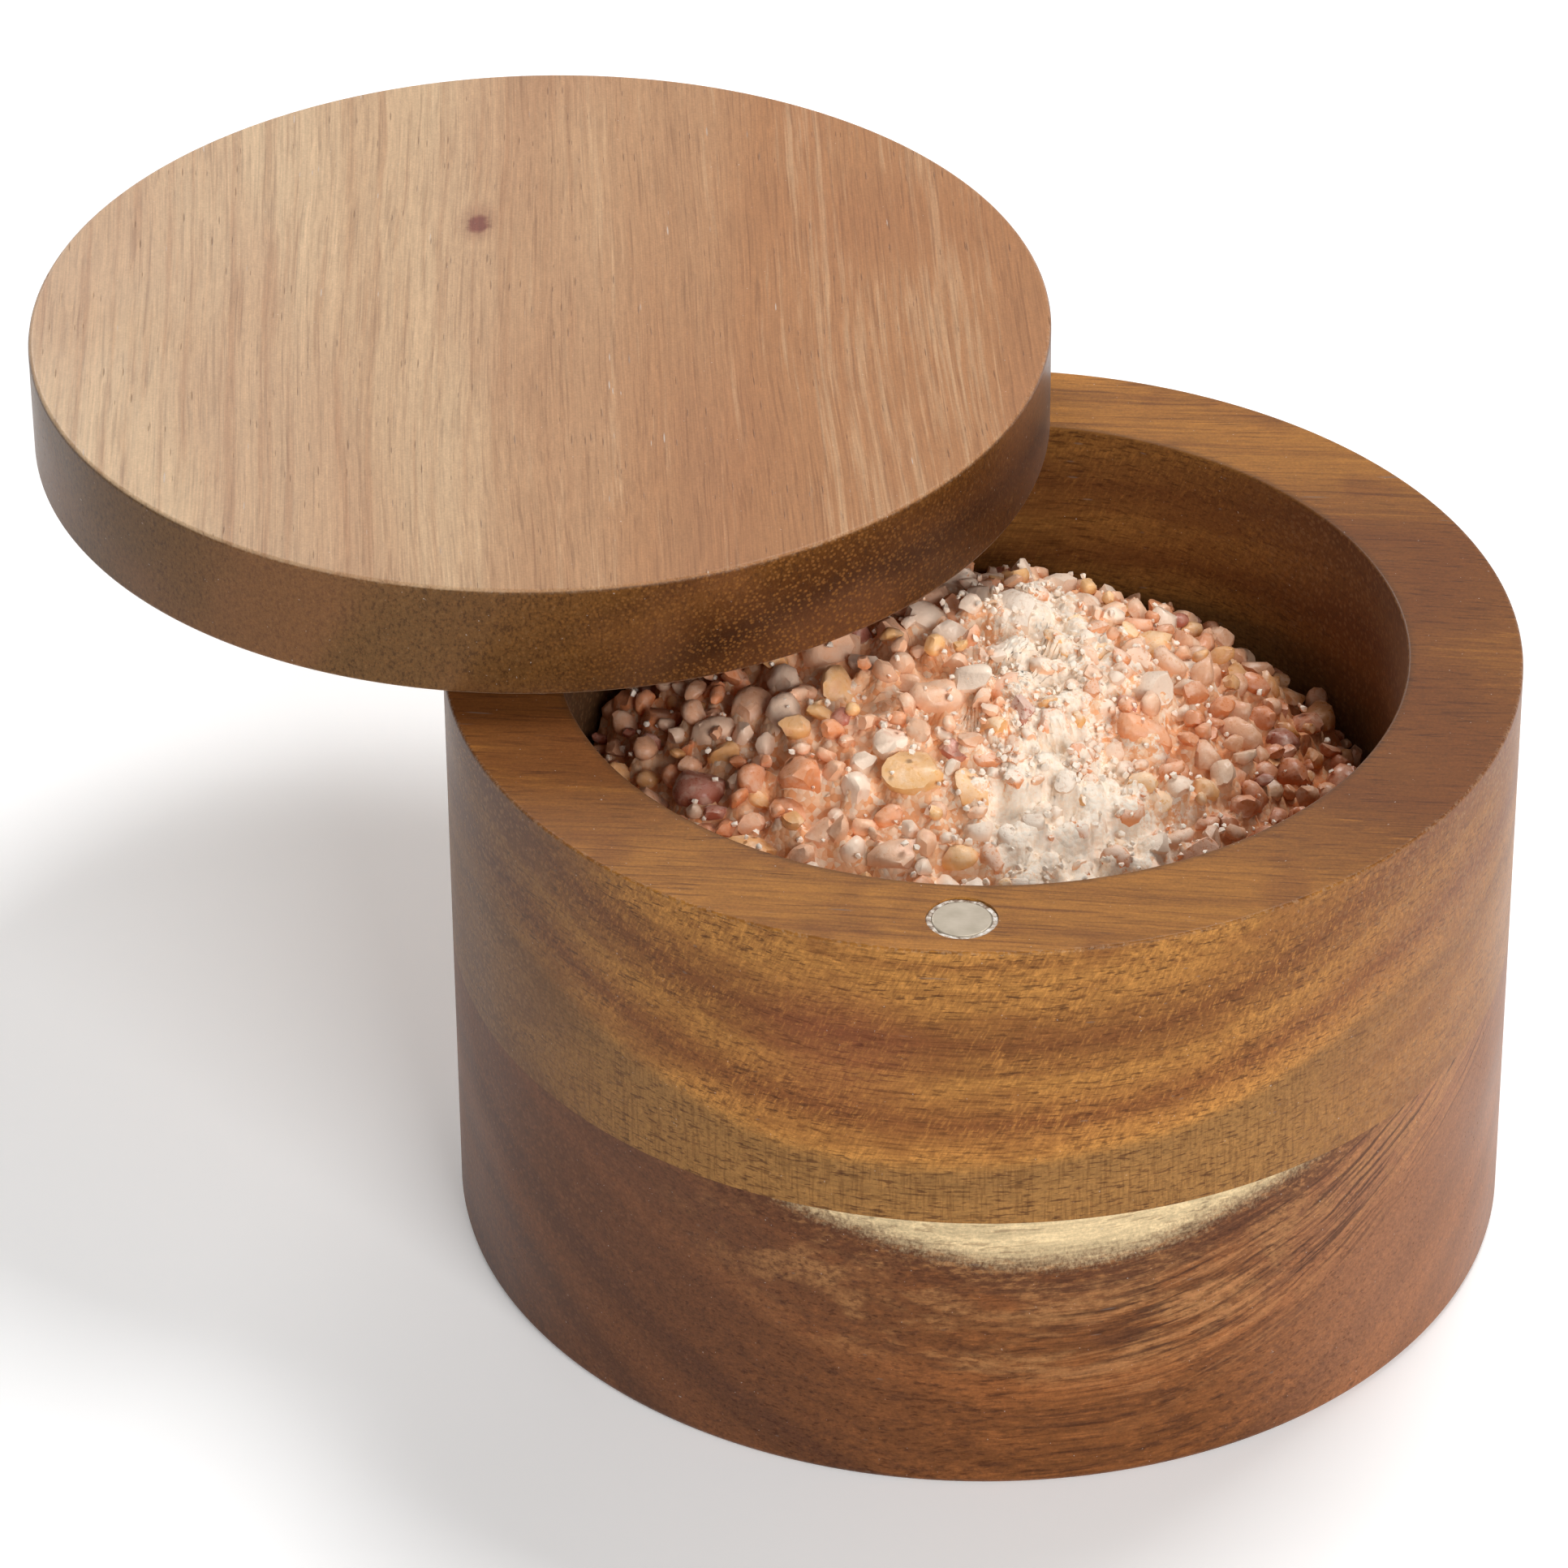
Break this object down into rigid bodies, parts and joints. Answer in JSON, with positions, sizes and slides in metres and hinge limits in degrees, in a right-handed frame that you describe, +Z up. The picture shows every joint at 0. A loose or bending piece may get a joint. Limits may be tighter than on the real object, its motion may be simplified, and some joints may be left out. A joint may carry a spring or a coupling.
{
  "type": "salt box",
  "caption": "Round wooden salt box with a deep hollow, filled with coarse salt, and a thick flat lid that swivels sideways on an upright steel pin and is held shut by a magnetic catch.",
  "frame": {"origin": "centre of the round base, on the surface the box stands on", "axes": "+Z up; the catch at the front of the rim faces -Y and the lid's pivot is at the back, on +Y; the lid is swung open to the left, over -X"},
  "size_m": [0.1821, 0.1744, 0.09],
  "materials": {
    "lower_block_wood": "satin",
    "upper_block_wood": "satin",
    "lid_wood": "satin",
    "pin_steel": "satin",
    "magnet_plating": "satin",
    "cured_glue": "satin",
    "coarse_salt": "matte"
  },
  "bodies": {
    "box": {"body_lower": "lower_block_wood", "body_upper": "upper_block_wood", "pivot_pin": "pin_steel", "rim_magnet": "magnet_plating", "rim_magnet_glue": "cured_glue", "salt_fill": "coarse_salt"},
    "lid": {"lid": "lid_wood", "lid_magnet": "magnet_plating", "lid_magnet_glue": "cured_glue"}
  },
  "joints": [
    {"name": "lid_swivel", "type": "hinge", "parent": "box", "child": "lid", "pos_m": [0, 0.05675, 0.0755], "axis": [0, 0, 1], "continuous": true}
  ]
}
